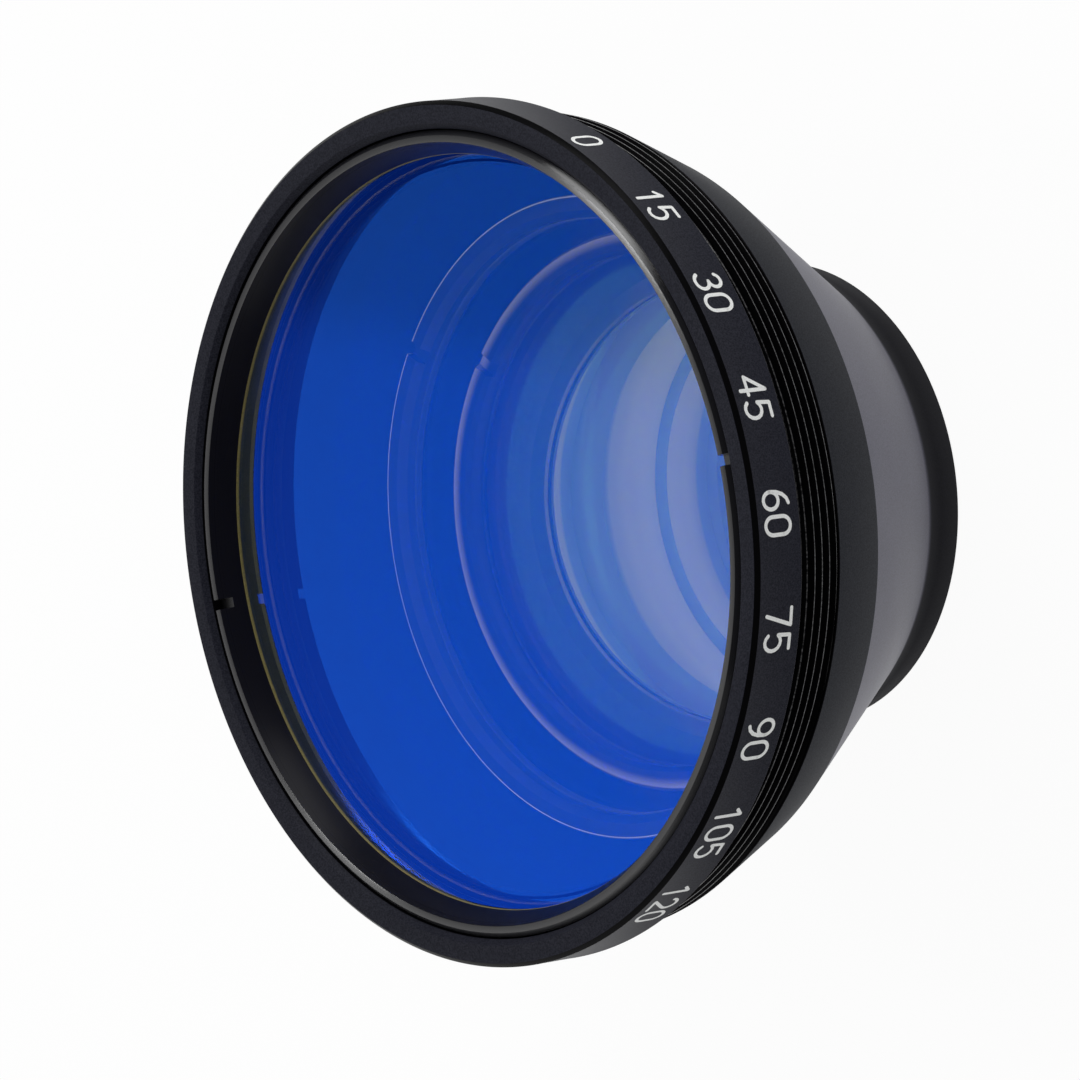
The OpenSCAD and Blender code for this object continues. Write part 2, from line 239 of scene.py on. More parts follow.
def bore_outline():
    """The inside of the barrel, from under the window to the rear face."""
    pocket_r = ENTRANCE_LENS.radius + CLEAR
    lip_r = ENTRANCE_LENS.radius - LIP_W
    lip_z = ENTRANCE_LENS.high_z
    rear_r = ENTRANCE_RING.radius + CLEAR
    return (
        throat(WINDOW_Z, WINDOW_SEAT_R, FRONT_RING.foot_z + FRONT_RING.height, FRONT_RING.radius + CLEAR)
        + lens_cell(FRONT_LENS, FRONT_RING)
        + throat(FRONT_LENS.low_z, FRONT_LENS.radius - FRONT_SEAT_W,
                 MIDDLE_RING.foot_z + MIDDLE_RING.height, MIDDLE_RING.radius + CLEAR)
        + lens_cell(MIDDLE_LENS, MIDDLE_RING)
        + throat(MIDDLE_LENS.low_z, MIDDLE_LENS.radius - MIDDLE_SEAT_W, lip_z + LIP_T, pocket_r, "throat")
        + [(lip_r + LIP_CHAMFER, lip_z + LIP_T, "lip"),
           (lip_r, lip_z + LIP_T - LIP_CHAMFER, "baffle"),
           (lip_r, lip_z, "baffle"),
           (pocket_r, lip_z, "baffle"),
           (pocket_r, ENTRANCE_LENS.low_z, "baffle"),
           (rear_r, ENTRANCE_LENS.low_z, "baffle"),
           (rear_r, 0, "collar")])


def barrel_columns():
    """The barrel's outline at each angle, with one more column where the helix has moved on a full pitch."""
    collar = broken_edges([
        (ENTRANCE_RING.radius + CLEAR, 0, "collar"),
        (COLLAR_END_R - COLLAR_CHAMFER, 0, "collar"),
        (COLLAR_END_R, COLLAR_CHAMFER, "collar")], EDGE_BREAK, closed=False)
    rear = corner_round((COLLAR_END_R, COLLAR_CHAMFER), (COLLAR_R, COLLAR_LEN),
                        (SHOULDER_R, SHOULDER_Z), COLLAR_FILLET, FILLET_STEPS, "collar")
    waist = broken_edges([
        (rear[-1][0], rear[-1][1], "collar"),
        (SHOULDER_R, SHOULDER_Z, "cone"),
        (THREAD_R - THREAD_STEP, THREAD_Z, "thread"),
        (THREAD_R - THREAD_STEP - THREAD_LEAD_W, THREAD_Z + THREAD_STEP, "thread")], WAIST_BREAK, closed=False)
    groove = [(RELIEF_R, THREAD_TOP_Z, "thread")]
    groove += corner_round((RELIEF_R, THREAD_TOP_Z), (RELIEF_R, FLANGE_Z), (FLANGE_R, FLANGE_Z),
                           RELIEF_ROUND, RELIEF_STEPS, "thread")
    flange_edge = FLANGE_CHAMFER / 2
    front = broken_edges([
        (groove[-1][0], FLANGE_Z, "flange"),
        (FLANGE_R - flange_edge, FLANGE_Z, "edge"),
        (FLANGE_R, FLANGE_Z + flange_edge, "flange"),
        (FLANGE_R - BAND_SINK, FLANGE_Z + flange_edge + BAND_SLOPE, "flange"),
        (FLANGE_R - BAND_SINK, TOTAL - FLANGE_CHAMFER - BAND_SLOPE, "flange"),
        (FLANGE_R, TOTAL - FLANGE_CHAMFER, "thread"),
        (FLANGE_R - FLANGE_CHAMFER, TOTAL, "flange"),
        (RING_R + CLEAR + MOUTH_CHAMFER, TOTAL, "flange"),
        (RING_R + CLEAR, TOTAL - MOUTH_CHAMFER, "baffle"),
        (RING_R + CLEAR, RING_Z - CLEAR, "baffle"),
        (WINDOW_R + CLEAR, RING_Z - CLEAR, "baffle"),
        (WINDOW_R + CLEAR, WINDOW_Z, "baffle"),
        (GROOVE_OUT_R, WINDOW_Z, "baffle"),
        (GROOVE_OUT_R, GROOVE_Z, "baffle"),
        (GROOVE_IN_R, GROOVE_Z, "baffle"),
        (GROOVE_IN_R, WINDOW_Z, "baffle")]
        + bore_outline(), EDGE_BREAK, closed=False)
    angles = [2 * math.pi * c / COLUMNS for c in range(COLUMNS + 1)]
    return [(angle, collar + rear + waist + thread_rows(angle) + groove + front) for angle in angles]


# ---------------------------------------------------------------- rings with spanner slots
def cut_to(outline, floor_z):
    """The outline with everything above floor_z taken off, point for point."""
    count = len(outline)
    top = max(z for _, z, _ in outline)
    middle = np.mean([r for r, z, _ in outline if z > top - TINY])
    crossings = []
    for i in range(count):
        (r0, z0, _), (r1, z1, _) = outline[i], outline[(i + 1) % count]
        if (z0 - floor_z) * (z1 - floor_z) < 0:
            crossings.append(r0 + (r1 - r0) * (floor_z - z0) / (z1 - z0))
    inner, outer = min(crossings), max(crossings)
    return [(r, z, f) if z <= floor_z else (inner if r < middle else outer, floor_z, f)
            for r, z, f in outline]


def slotted_columns(outline, floor_z, slot_w, slot_angle):
    """Columns of a ring with two opposite slots of the given width."""
    middle_r = np.mean([r for r, _, _ in outline])
    half = slot_w / 2 / middle_r
    low = cut_to(outline, floor_z)
    centres = [math.radians(turn) % (2 * math.pi) for turn in (slot_angle, slot_angle + 180)]
    columns = []
    for angle, full in round_columns(outline):
        if all(abs(angle - centre) > half * 1.05 for centre in centres):
            columns.append((angle, 0, full))
    for centre in centres:
        for order, (angle, shape) in enumerate([(centre - half, outline), (centre - half, low),
                                                (centre + half, low), (centre + half, outline)]):
            columns.append((angle, order, shape))
    columns.sort(key=lambda entry: (round(entry[0], 7), entry[1]))
    return [(angle, shape) for angle, _, shape in columns]


def window_ring_mesh():
    outline = broken_edges([
        (RING_FOOT_R, RING_Z, "ring"),
        (RING_R, RING_Z, "ring"),
        (RING_R, RING_TOP_Z - RING_CHAMFER, "ring"),
        (RING_R - RING_CHAMFER, RING_TOP_Z, "ring"),
        (RING_MOUTH_R, RING_TOP_Z, "wall")], EDGE_BREAK)
    columns = slotted_columns(outline, RING_TOP_Z - RING_SLOT_DEPTH, RING_SLOT_W, RING_SLOT_ANGLE)
    return turned("window_ring", columns, ["ring", "wall"])


def inner_ring_mesh(name, ring):
    base = 0 if ring.faces_rear else ring.foot_z
    top = base + ring.height
    corner_r = ring.radius - ring.corner
    outline = broken_edges([
        (ring.bore_r, base, "ring"),
        (ring.radius, base, "ring"),
        (ring.radius, top - ring.corner, "edge"),
        (corner_r, top, "rim"),
        (corner_r - ring.rim, top, "ring"),
        (ring.bore_r + ring.chamfer, top, "ring"),
        (ring.bore_r, top - ring.chamfer, "ring")], EDGE_BREAK)
    columns = slotted_columns(outline, top - INNER_SLOT_DEPTH, INNER_SLOT_W, INNER_SLOT_ANGLE)
    mesh = turned(name, columns, ["ring", "edge", "rim"])
    if ring.faces_rear:
        mesh.transform(Matrix.Translation((0, 0, ring.foot_z * MM)) @ Matrix.Rotation(math.pi, 4, "X"))
    return mesh


# ---------------------------------------------------------------- glass
def sag(sphere_r, r):
    return sphere_r - math.sqrt(sphere_r * sphere_r - r * r)


def dome(level, clear_r, sphere_r, bow):
    """A spherical face from the axis out to its clear radius, where it is at the given level."""
    radii = [clear_r * k / DOME_STEPS for k in range(DOME_STEPS + 1)]
    return [(r, level + bow * (sag(sphere_r, clear_r) - sag(sphere_r, r)), "polished") for r in radii]


def lens_mesh(name, lens):
    """A lens turned round the axis, with polished spheres and ground lands a hair off their seats."""
    low_land, high_land = lens.low_z + LAND_GAP, lens.high_z - LAND_GAP
    outline = dome(lens.low_z, lens.low_clear, lens.low_sphere, lens.low_bow)[:-1]
    outline += [(lens.low_clear, low_land, "low land"), (lens.radius, low_land, "edge"),
                (lens.radius, high_land, "high land"), (lens.high_clear, high_land, "high land")]
    outline += dome(lens.high_z, lens.high_clear, lens.high_sphere, lens.high_bow)[::-1]
    return turned(name, round_columns(outline), ["polished", "low land", "edge", "high land"],
                  closed=False, sharp=12)


def window_mesh():
    c = WINDOW_CHAMFER
    outline = [
        (0, WINDOW_Z, "polished"), (WINDOW_R - c, WINDOW_Z, "ground"),
        (WINDOW_R, WINDOW_Z + c, "ground"), (WINDOW_R, WINDOW_TOP_Z - c, "ground"),
        (WINDOW_R - c, WINDOW_TOP_Z, "polished"), (0, WINDOW_TOP_Z, "polished")]
    return turned("window", round_columns(outline, DISC_COLUMNS), ["polished", "ground"],
                  closed=False, sharp=20)


def gasket_mesh():
    outline = broken_edges([
        (RING_FOOT_R, WINDOW_TOP_Z, "film"), (WINDOW_R, WINDOW_TOP_Z, "film"),
        (WINDOW_R, GASKET_TOP_Z, "film"), (RING_FOOT_R, GASKET_TOP_Z, "film")], GASKET_BREAK)
    return turned("gasket", round_columns(outline, DISC_COLUMNS), ["film"])


def o_ring_mesh():
    half = O_RING_SECTION / 2
    middle = (GROOVE_Z + WINDOW_Z) / 2
    outline = []
    for k in range(O_RING_SIDES):
        turn = 2 * math.pi * k / O_RING_SIDES
        z = min(max(middle + half * math.sin(turn), GROOVE_Z), WINDOW_Z)
        outline.append((O_RING_R + half * math.cos(turn), z, "rubber"))
    return turned("o_ring", round_columns(outline, O_RING_COLUMNS), ["rubber"])


# ---------------------------------------------------------------- degree figures on the flange
def bow(x, y, rx, ry, start, end, steps=12):
    """Points of an elliptical arc between two angles in degrees."""
    angles = [math.radians(start + (end - start) * k / steps) for k in range(steps + 1)]
    return [(x + rx * math.cos(angle), y + ry * math.sin(angle)) for angle in angles]


# Single strokes of each figure in a cell 0.62 wide and 1 high
STROKES = {
    "0": [bow(0.31, 0.7, 0.27, 0.3, 0, 180) + bow(0.31, 0.3, 0.27, 0.3, 180, 360) + [(0.58, 0.7)]],
    "1": [[(0.16, 0.8), (0.36, 1.0)], [(0.36, 1.0), (0.36, 0.0)]],
    "2": [bow(0.31, 0.73, 0.25, 0.27, 170, -20) + [(0.48, 0.52), (0.06, 0.0)], [(0.06, 0.0), (0.58, 0.0)]],
    "3": [bow(0.3, 0.76, 0.23, 0.24, 155, -90), bow(0.3, 0.26, 0.27, 0.26, 90, -155)],
    "4": [[(0.46, 0.0), (0.46, 1.0)], [(0.46, 1.0), (0.04, 0.28)], [(0.04, 0.28), (0.6, 0.28)]],
    "5": [[(0.54, 1.0), (0.12, 1.0)], [(0.12, 1.0), (0.09, 0.55)], bow(0.3, 0.32, 0.27, 0.32, 140, -140)],
    "6": [bow(0.31, 0.3, 0.26, 0.3, 180, -180, 20),
          [(0.05, 0.3), (0.07, 0.55), (0.15, 0.78), (0.28, 0.94), (0.42, 1.0)]],
    "7": [[(0.05, 1.0), (0.57, 1.0)], [(0.57, 1.0), (0.24, 0.0)]],
    "9": [bow(0.31, 0.7, 0.26, 0.3, 0, 360, 20),
          [(0.57, 0.7), (0.55, 0.45), (0.47, 0.22), (0.34, 0.06), (0.2, 0.0)]],
}
FIGURE_H = 3.3
FIGURE_W = 0.62 * FIGURE_H
FIGURE_LIFT, FIGURE_ROOT = 0.012, -0.05
FIGURE_STROKE = 0.4
FIGURE_ADVANCE = 2.5
FIGURE_STEP = 15
FIGURE_START = -117.5
FIGURES = [str(n) for n in range(0, 121, FIGURE_STEP)]


def stroke_outline(points, width):
    """The closed outline of one stroke with round ends."""
    path = [Vector(p) for p in points]
    left, right = [], []
    for i, here in enumerate(path):
        ahead = path[min(i + 1, len(path) - 1)] - path[max(i - 1, 0)]
        side = Vector((-ahead.y, ahead.x)).normalized() * width / 2
        left.append(here + side)
        right.append(here - side)
    caps = []
    for tip, arm in ((path[-1], left[-1] - path[-1]), (path[0], right[0] - path[0])):
        caps.append([tip + Matrix.Rotation(-math.pi * k / 8, 2) @ arm for k in range(1, 8)])
    return left, caps[0], right, caps[1]


def figures_mesh():
    """All degree figures, laid on the flange as low filled strokes."""
    verts, faces = [], []
    band_z = (FLANGE_Z + TOTAL) / 2

    def wrap(point, centre_angle, lift):
        angle = centre_angle - point.x / FLANGE_R
        radius = FLANGE_R - BAND_SINK + lift
        verts.append((radius * math.cos(angle) * MM, radius * math.sin(angle) * MM,
                      (band_z + FIGURE_H / 2 - point.y) * MM))
        return len(verts) - 1

    def filled(ring, centre_angle):
        top = [wrap(p, centre_angle, FIGURE_LIFT) for p in ring]
        low = [wrap(p, centre_angle, FIGURE_ROOT) for p in ring]
        for i in range(len(ring)):
            k = (i + 1) % len(ring)
            faces.append((top[k], top[i], low[i], low[k]))
        return top

    def stroke_faces(stroke, centre_angle):
        left, end_cap, right, start_cap = stroke_outline(stroke, FIGURE_STROKE)
        top = filled(left + end_cap + right[::-1] + start_cap, centre_angle)
        count = len(left)
        right_from = count + len(end_cap)
        near = top[:count]
        far = top[right_from:right_from + count][::-1]
        for i in range(count - 1):
            faces.append((near[i], near[i + 1], far[i + 1], far[i]))
        faces.append([near[-1]] + top[count:right_from] + [far[-1]])
        faces.append([far[0]] + top[right_from + count:] + [near[0]])

    for number, text in enumerate(FIGURES):
        centre_angle = math.radians(FIGURE_START - FIGURE_STEP * number)
        width = FIGURE_ADVANCE * (len(text) - 1) + FIGURE_W
        for place_in, figure in enumerate(text):
            left_edge = FIGURE_ADVANCE * place_in - width / 2
            for stroke in STROKES[figure]:
                stroke_faces([(x * FIGURE_H + left_edge, y * FIGURE_H) for x, y in stroke], centre_angle)
    mesh = bpy.data.meshes.new("degree_figures")
    mesh.from_pydata(verts, [], faces)
    work = bmesh.new()
    work.from_mesh(mesh)
    bmesh.ops.remove_doubles(work, verts=work.verts, dist=1e-7)
    bmesh.ops.recalc_face_normals(work, faces=work.faces)
    work.to_mesh(mesh)
    work.free()
    return mesh


# ---------------------------------------------------------------- shader node groups
def new_group(name, inputs, outputs):
    group = bpy.data.node_groups.new(name, "ShaderNodeTree")
    for label, kind, value in inputs:
        socket = group.interface.new_socket(label, in_out="INPUT", socket_type=kind)
        socket.default_value = value
    for label, kind in outputs:
        group.interface.new_socket(label, in_out="OUTPUT", socket_type=kind)
    return group, group.nodes.new("NodeGroupInput"), group.nodes.new("NodeGroupOutput")


def add(tree, kind, **settings):
    node = tree.nodes.new(kind)
    for key, value in settings.items():
        setattr(node, key, value)
    return node


def feed(tree, value, socket):
    """Links a socket's value to an input, or writes a plain one in."""
    if hasattr(value, "links"):
        tree.links.new(value, socket)
    else:
        socket.default_value = value


def worked_out(tree, operation, first, second):
    """A Math node on two values."""
    node = add(tree, "ShaderNodeMath", operation=operation)
    feed(tree, first, node.inputs[0])
    feed(tree, second, node.inputs[1])
    return node.outputs["Value"]


def ranged(tree, value, low, high, start=0.0, end=1.0, kind="LINEAR"):
    """A value that goes from low to high while the one given goes from start to end."""
    node = add(tree, "ShaderNodeMapRange", interpolation_type=kind)
    for label, given in (("Value", value), ("From Min", start), ("From Max", end),
                         ("To Min", low), ("To Max", high)):
        feed(tree, given, node.inputs[label])
    return node.outputs["Result"]


def place_on_part(tree):
    return add(tree, "ShaderNodeTexCoord").outputs["Object"]


def parted(tree, vector):
    node = add(tree, "ShaderNodeSeparateXYZ")
    tree.links.new(vector, node.inputs["Vector"])
    return node.outputs


def axis_distance(tree, vector):
    flat = add(tree, "ShaderNodeVectorMath", operation="MULTIPLY")
    flat.inputs[1].default_value = (1, 1, 0)
    tree.links.new(vector, flat.inputs[0])
    radius = add(tree, "ShaderNodeVectorMath", operation="LENGTH")
    tree.links.new(flat.outputs["Vector"], radius.inputs[0])
    return radius.outputs["Value"]


def blasted_grain_group():
    """Fine even grain of a blasted surface, with a slow change of tone over it."""
    group, given, out = new_group("blasted_grain", [
        ("Grain per metre", "NodeSocketFloat", 6000.0),
        ("Patches per metre", "NodeSocketFloat", 60.0)], [
        ("Height", "NodeSocketFloat"), ("Speck", "NodeSocketFloat"), ("Patch", "NodeSocketFloat")])
    link = group.links.new
    where = place_on_part(group)
    grain = add(group, "ShaderNodeTexNoise")
    grain.inputs["Detail"].default_value = 2.0
    grain.inputs["Roughness"].default_value = 0.65
    link(where, grain.inputs["Vector"])
    link(given.outputs["Grain per metre"], grain.inputs["Scale"])
    patch = add(group, "ShaderNodeTexNoise")
    patch.inputs["Detail"].default_value = 3.0
    link(where, patch.inputs["Vector"])
    link(given.outputs["Patches per metre"], patch.inputs["Scale"])
    speck = ranged(group, grain.outputs["Fac"], 0.0, 1.0, 0.32, 0.68, "SMOOTHSTEP")
    link(grain.outputs["Fac"], out.inputs["Height"])
    link(speck, out.inputs["Speck"])
    link(patch.outputs["Fac"], out.inputs["Patch"])
    return group


def turning_marks_group():
    """Very fine rings left by the lathe tool, by distance from the axis and by height."""
    group, given, out = new_group("turning_marks", [
        ("Rings per metre", "NodeSocketFloat", 9000.0)], [
        ("Height", "NodeSocketFloat"), ("Streak", "NodeSocketFloat")])
    link = group.links.new
    where = place_on_part(group)
    along = worked_out(group, "ADD", axis_distance(group, where), parted(group, where)["Z"])
    rings = add(group, "ShaderNodeTexNoise", noise_dimensions="1D")
    rings.inputs["Detail"].default_value = 1.0
    link(along, rings.inputs["W"])
    link(given.outputs["Rings per metre"], rings.inputs["Scale"])
    link(rings.outputs["Fac"], out.inputs["Height"])
    link(rings.outputs["Fac"], out.inputs["Streak"])
    return group


def height_zone_group():
    """A mask that rises from 0 to 1 between two heights above the rear face."""
    group, given, out = new_group("height_zone", [
        ("From height", "NodeSocketFloat", 0.0), ("To height", "NodeSocketFloat", 0.01)], [
        ("Mask", "NodeSocketFloat")])
    height = parted(group, place_on_part(group))["Z"]
    rise = ranged(group, height, 0.0, 1.0, given.outputs["From height"], given.outputs["To height"],
                  "SMOOTHSTEP")
    group.links.new(rise, out.inputs["Mask"])
    return group


def radius_zone_group():
    """A mask that rises from 0 to 1 between two distances from the axis."""
    group, given, out = new_group("radius_zone", [
        ("From radius", "NodeSocketFloat", 0.0), ("To radius", "NodeSocketFloat", 0.01)], [
        ("Mask", "NodeSocketFloat")])
    radius = axis_distance(group, place_on_part(group))
    rise = ranged(group, radius, 0.0, 1.0, given.outputs["From radius"], given.outputs["To radius"],
                  "SMOOTHSTEP")
    group.links.new(rise, out.inputs["Mask"])
    return group


def coating_drift_group():
    """A painted reflection gradient over a disc, as a mask from 0 to 1 along Y."""
    group, given, out = new_group("painted_reflection_gradient", [
        ("Half width", "NodeSocketFloat", 0.04)], [
        ("Painted gradient", "NodeSocketFloat")])
    half = given.outputs["Half width"]
    across = parted(group, place_on_part(group))["Y"]
    gradient_mask = ranged(group, across, 0.0, 1.0, worked_out(group, "MULTIPLY", half, -1.0), half)
    group.links.new(gradient_mask, out.inputs["Painted gradient"])
    return group


GRAIN = blasted_grain_group()
PAINTED_REFLECTION_GRADIENT = coating_drift_group()
MARKS = turning_marks_group()
ZONE = height_zone_group()
RIM = radius_zone_group()


# ---------------------------------------------------------------- materials
def blank_material(name):
    material = bpy.data.materials.new(name)
    material.use_nodes = True
    tree = material.node_tree
    tree.nodes.clear()
    return material, tree, add(tree, "ShaderNodeOutputMaterial")


def mixed_colour(tree, mask, low, high):
    """Goes from one colour to the other with the mask. Each is a socket or a plain colour."""
    node = add(tree, "ShaderNodeMix", data_type="RGBA")
    tree.links.new(mask, node.inputs["Factor"])
    for socket, value in ((node.inputs[6], low), (node.inputs[7], high)):
        feed(tree, value if hasattr(value, "links") else (*value, 1), socket)
    return node.outputs[2]


def about(tree, value, middle, spread=0.05):
    """Swings a plain value a little to both sides."""
    return ranged(tree, value, middle - spread, middle + spread)


def bumped(tree, height, distance):
    node = add(tree, "ShaderNodeBump")
    node.inputs["Strength"].default_value = 1.0
    node.inputs["Distance"].default_value = distance
    tree.links.new(height, node.inputs["Height"])
    return node.outputs["Normal"]


def past(tree, group, kind, start, end):
    """A mask for what lies past the span from start to end, in millimetres."""
    rise = add(tree, "ShaderNodeGroup", node_tree=group)
    rise.inputs["From " + kind].default_value = start * MM
    rise.inputs["To " + kind].default_value = end * MM
    return rise.outputs["Mask"]


def anodised(name, dark, light, rough, specular, grain=6000.0, depth=4e-6, zone=None):
    """Blasted and dyed aluminium. zone is (from height, to height, dark, light, rough) for what lies
    above, where a paler tone is painted on as painted sheen."""
    material, tree, out = blank_material(name)
    link = tree.links.new
    surface = add(tree, "ShaderNodeBsdfPrincipled")
    effect = add(tree, "ShaderNodeGroup", node_tree=GRAIN)
    effect.inputs["Grain per metre"].default_value = grain
    speck, patch = effect.outputs["Speck"], effect.outputs["Patch"]
    colour = mixed_colour(tree, speck, dark, light)
    gloss = about(tree, patch, rough)
    if zone:
        start, end, upper_dark, upper_light, upper_rough = zone
        above = past(tree, ZONE, "height", start, end)
        colour = mixed_colour(tree, above, colour, mixed_colour(tree, speck, upper_dark, upper_light))
        gloss = ranged(tree, above, gloss, about(tree, patch, upper_rough))
    link(colour, surface.inputs["Base Color"])
    link(gloss, surface.inputs["Roughness"])
    link(bumped(tree, effect.outputs["Height"], depth), surface.inputs["Normal"])
    surface.inputs["Specular IOR Level"].default_value = specular
    link(surface.outputs["BSDF"], out.inputs["Surface"])
    return material


def turned_black(name, dark, light, rough, specular, rings=9000.0, depth=1e-6, brushed=0.0, rim=None):
    """Fine turned and dyed aluminium. brushed is how far the cut's rings spread its highlights, and rim
    is (from radius, to radius, dark, light) for a paler tone painted further out, a painted highlight."""
    material, tree, out = blank_material(name)
    link = tree.links.new
    surface = add(tree, "ShaderNodeBsdfPrincipled")
    effect = add(tree, "ShaderNodeGroup", node_tree=MARKS)
    effect.inputs["Rings per metre"].default_value = rings
    streak = effect.outputs["Streak"]
    colour = mixed_colour(tree, streak, dark, light)
    if rim:
        start, end, rim_dark, rim_light = rim
        colour = mixed_colour(tree, past(tree, RIM, "radius", start, end), colour,
                              mixed_colour(tree, streak, rim_dark, rim_light))
    link(colour, surface.inputs["Base Color"])
    link(about(tree, streak, rough), surface.inputs["Roughness"])
    link(bumped(tree, effect.outputs["Height"], depth), surface.inputs["Normal"])
    surface.inputs["Specular IOR Level"].default_value = specular
    if brushed:
        cut = add(tree, "ShaderNodeTangent", direction_type="RADIAL", axis="Z")
        link(cut.outputs["Tangent"], surface.inputs["Tangent"])
        surface.inputs["Anisotropic"].default_value = brushed
        surface.inputs["Anisotropic Rotation"].default_value = 0.25
    link(surface.outputs["BSDF"], out.inputs["Surface"])
    return material


def clear_glass(name, ior, faint, full):
    """Polished glass whose tint goes from faint to full across the disc along Y: a painted reflection
    gradient, darker towards -Y.
    """
    material, tree, out = blank_material(name)
    glass = add(tree, "ShaderNodeBsdfPrincipled")
    effect = add(tree, "ShaderNodeGroup", node_tree=PAINTED_REFLECTION_GRADIENT)
    tree.links.new(mixed_colour(tree, effect.outputs["Painted gradient"], faint, full), glass.inputs["Base Color"])
    glass.inputs["Roughness"].default_value = 0.0
    glass.inputs["Transmission Weight"].default_value = 1.0
    glass.inputs["IOR"].default_value = ior
    tree.links.new(glass.outputs["BSDF"], out.inputs["Surface"])
    return material, glass


def bloomed_glass(name, ior, film):
    """Clear glass under an anti-reflection film, film nanometres thick."""
    material, glass = clear_glass(name, ior, (0.97, 0.98, 1.0), (0.99, 0.99, 1.0))
    glass.inputs["Thin Film Thickness"].default_value = film
    glass.inputs["Thin Film IOR"].default_value = math.sqrt(ior)
    return material


def coated_glass(name, sent_back, ior):
    """Clear glass under a coloured coating. sent_back is what one face returns of the light that meets it
    squarely; the rest goes through."""
    material, glass = clear_glass(name, ior, (0.96, 0.97, 1.0), (1.0, 1.0, 1.0))
    bare = ((ior - 1) / (ior + 1)) ** 2
    glass.inputs["Specular Tint"].default_value = [share / bare for share in sent_back] + [1]
    return material


def ground_glass(name, dark, light, specular=0.5, bands=()):
    """Ground glass, rubber and paint. Each band is (from height, to height, dark, light) for what lies
    above, a paler tone painted on as a painted highlight band."""
    material, tree, out = blank_material(name)
    link = tree.links.new
    surface = add(tree, "ShaderNodeBsdfPrincipled")
    effect = add(tree, "ShaderNodeGroup", node_tree=GRAIN)
    effect.inputs["Grain per metre"].default_value = 9000.0
    speck = effect.outputs["Speck"]
    colour = mixed_colour(tree, speck, dark, light)
    for start, end, band_dark, band_light in bands:
        colour = mixed_colour(tree, past(tree, ZONE, "height", start, end), colour,
                              mixed_colour(tree, speck, band_dark, band_light))
    link(colour, surface.inputs["Base Color"])
    surface.inputs["Roughness"].default_value = 0.55
    surface.inputs["Specular IOR Level"].default_value = specular
    link(bumped(tree, effect.outputs["Height"], 3e-6), surface.inputs["Normal"])
    link(surface.outputs["BSDF"], out.inputs["Surface"])
    return material


black_flange = anodised("blasted_black_flange", (0.008, 0.0085, 0.014), (0.022, 0.023, 0.033), 0.42, 0.05)
black_cone = anodised("blasted_black_cone", (0.008, 0.009, 0.013), (0.023, 0.025, 0.032), 0.50, 0.03)
# The rear cone above the fillet is painted a paler lavender: painted sheen for the bright surroundings it
# reflects. The collar below stays near black.
rear_with_painted_sheen = anodised("blasted_black_rear_painted_sheen", (0.002, 0.002, 0.004), (0.006, 0.006, 0.010), 0.85, 0.18,
                     zone=(5.2, 6.8, (0.024, 0.023, 0.046), (0.062, 0.060, 0.105), 0.36))
bright_edge = anodised("worn_black_edge", (0.014, 0.014, 0.018), (0.036, 0.036, 0.042), 0.3, 0.3)
# The thread crests are painted paler and speckled: partly wear, partly a painted highlight along the crests.
crest_wear_and_painted_highlight = anodised("thread_crest_wear_and_painted_highlight", (0.004, 0.004, 0.005), (0.13, 0.13, 0.135), 0.3, 0.4,
                      grain=3000.0)
gloss_thread = turned_black("gloss_black_thread", (0.0012, 0.0012, 0.0016), (0.0026, 0.0026, 0.003),
                            0.25, 0.03)
baffle_black = turned_black("black_baffle", (0.002, 0.002, 0.003), (0.005, 0.005, 0.006), 0.5, 0.0,
                            rings=2500.0, depth=6e-6)
# The rear throat is tinted blue: a painted blue glow for the cyan light on it.
throat_painted_blue_glow = turned_black("satin_rear_throat_painted_blue_glow", (0.004, 0.012, 0.03), (0.008, 0.022, 0.05), 0.4, 0.2,
                            rings=2500.0, depth=6e-6)
ring_black = turned_black("gloss_black_ring", (0.003, 0.003, 0.005), (0.008, 0.008, 0.011), 0.21, 0.9,
                          depth=3e-7, brushed=1.0)
ring_wall_black = turned_black("black_ring_wall", (0.003, 0.003, 0.006), (0.008, 0.008, 0.013), 0.30, 0.15)
INNER_RING_TONES = ((0.004, 0.005, 0.008), (0.010, 0.012, 0.018))
inner_ring_black = turned_black("satin_black_inner_ring", *INNER_RING_TONES, 0.35, 0.08)
# Pale grey on the inner rings' outer corners and on the barrel's lip: a painted highlight for the thin bright
# lines along them.
inner_ring_painted_highlight = turned_black("inner_ring_edge_painted_highlight", (0.10, 0.11, 0.14), (0.22, 0.23, 0.27), 0.25, 0.6)
# The ring rims turn pale further from the axis: a painted highlight, for the bright arc on the middle ring's
# rim and the thin line on the front ring's.
rim_painted_highlight = turned_black("inner_ring_rim_painted_highlight", *INNER_RING_TONES, 0.35, 0.08,
                          rim=(26.4, 27.7, (0.40, 0.40, 0.50), (0.60, 0.60, 0.70)))
amber_film = ground_glass("amber_film", (0.16, 0.13, 0.03), (0.26, 0.22, 0.07))
window_glass = coated_glass("blue_coated_window", (0.001, 0.031, 0.33), 1.08)
front_glass, middle_glass, entrance_glass = (
    bloomed_glass(f"bloomed_{which}_lens", 1.5, 215.0) for which in ("front", "middle", "entrance"))
ground_edge = ground_glass("ground_glass_edge", (0.02, 0.03, 0.05), (0.05, 0.06, 0.09))
# The entrance lens's edge is pale like ground glass, but it is tinted blue as painted light from the rear. A
# cream band and a pale band are painted on as painted highlight arcs.
edge_painted_light = ground_glass("ground_glass_edge_painted_light", (0.50, 0.66, 0.94), (0.54, 0.70, 0.98), 0.0,
                         bands=[(4.8, 5.2, (0.98, 0.97, 0.94), (1.0, 0.99, 0.96)),
                                (6.2, 7.0, (0.90, 0.90, 0.96), (0.94, 0.94, 0.98))])
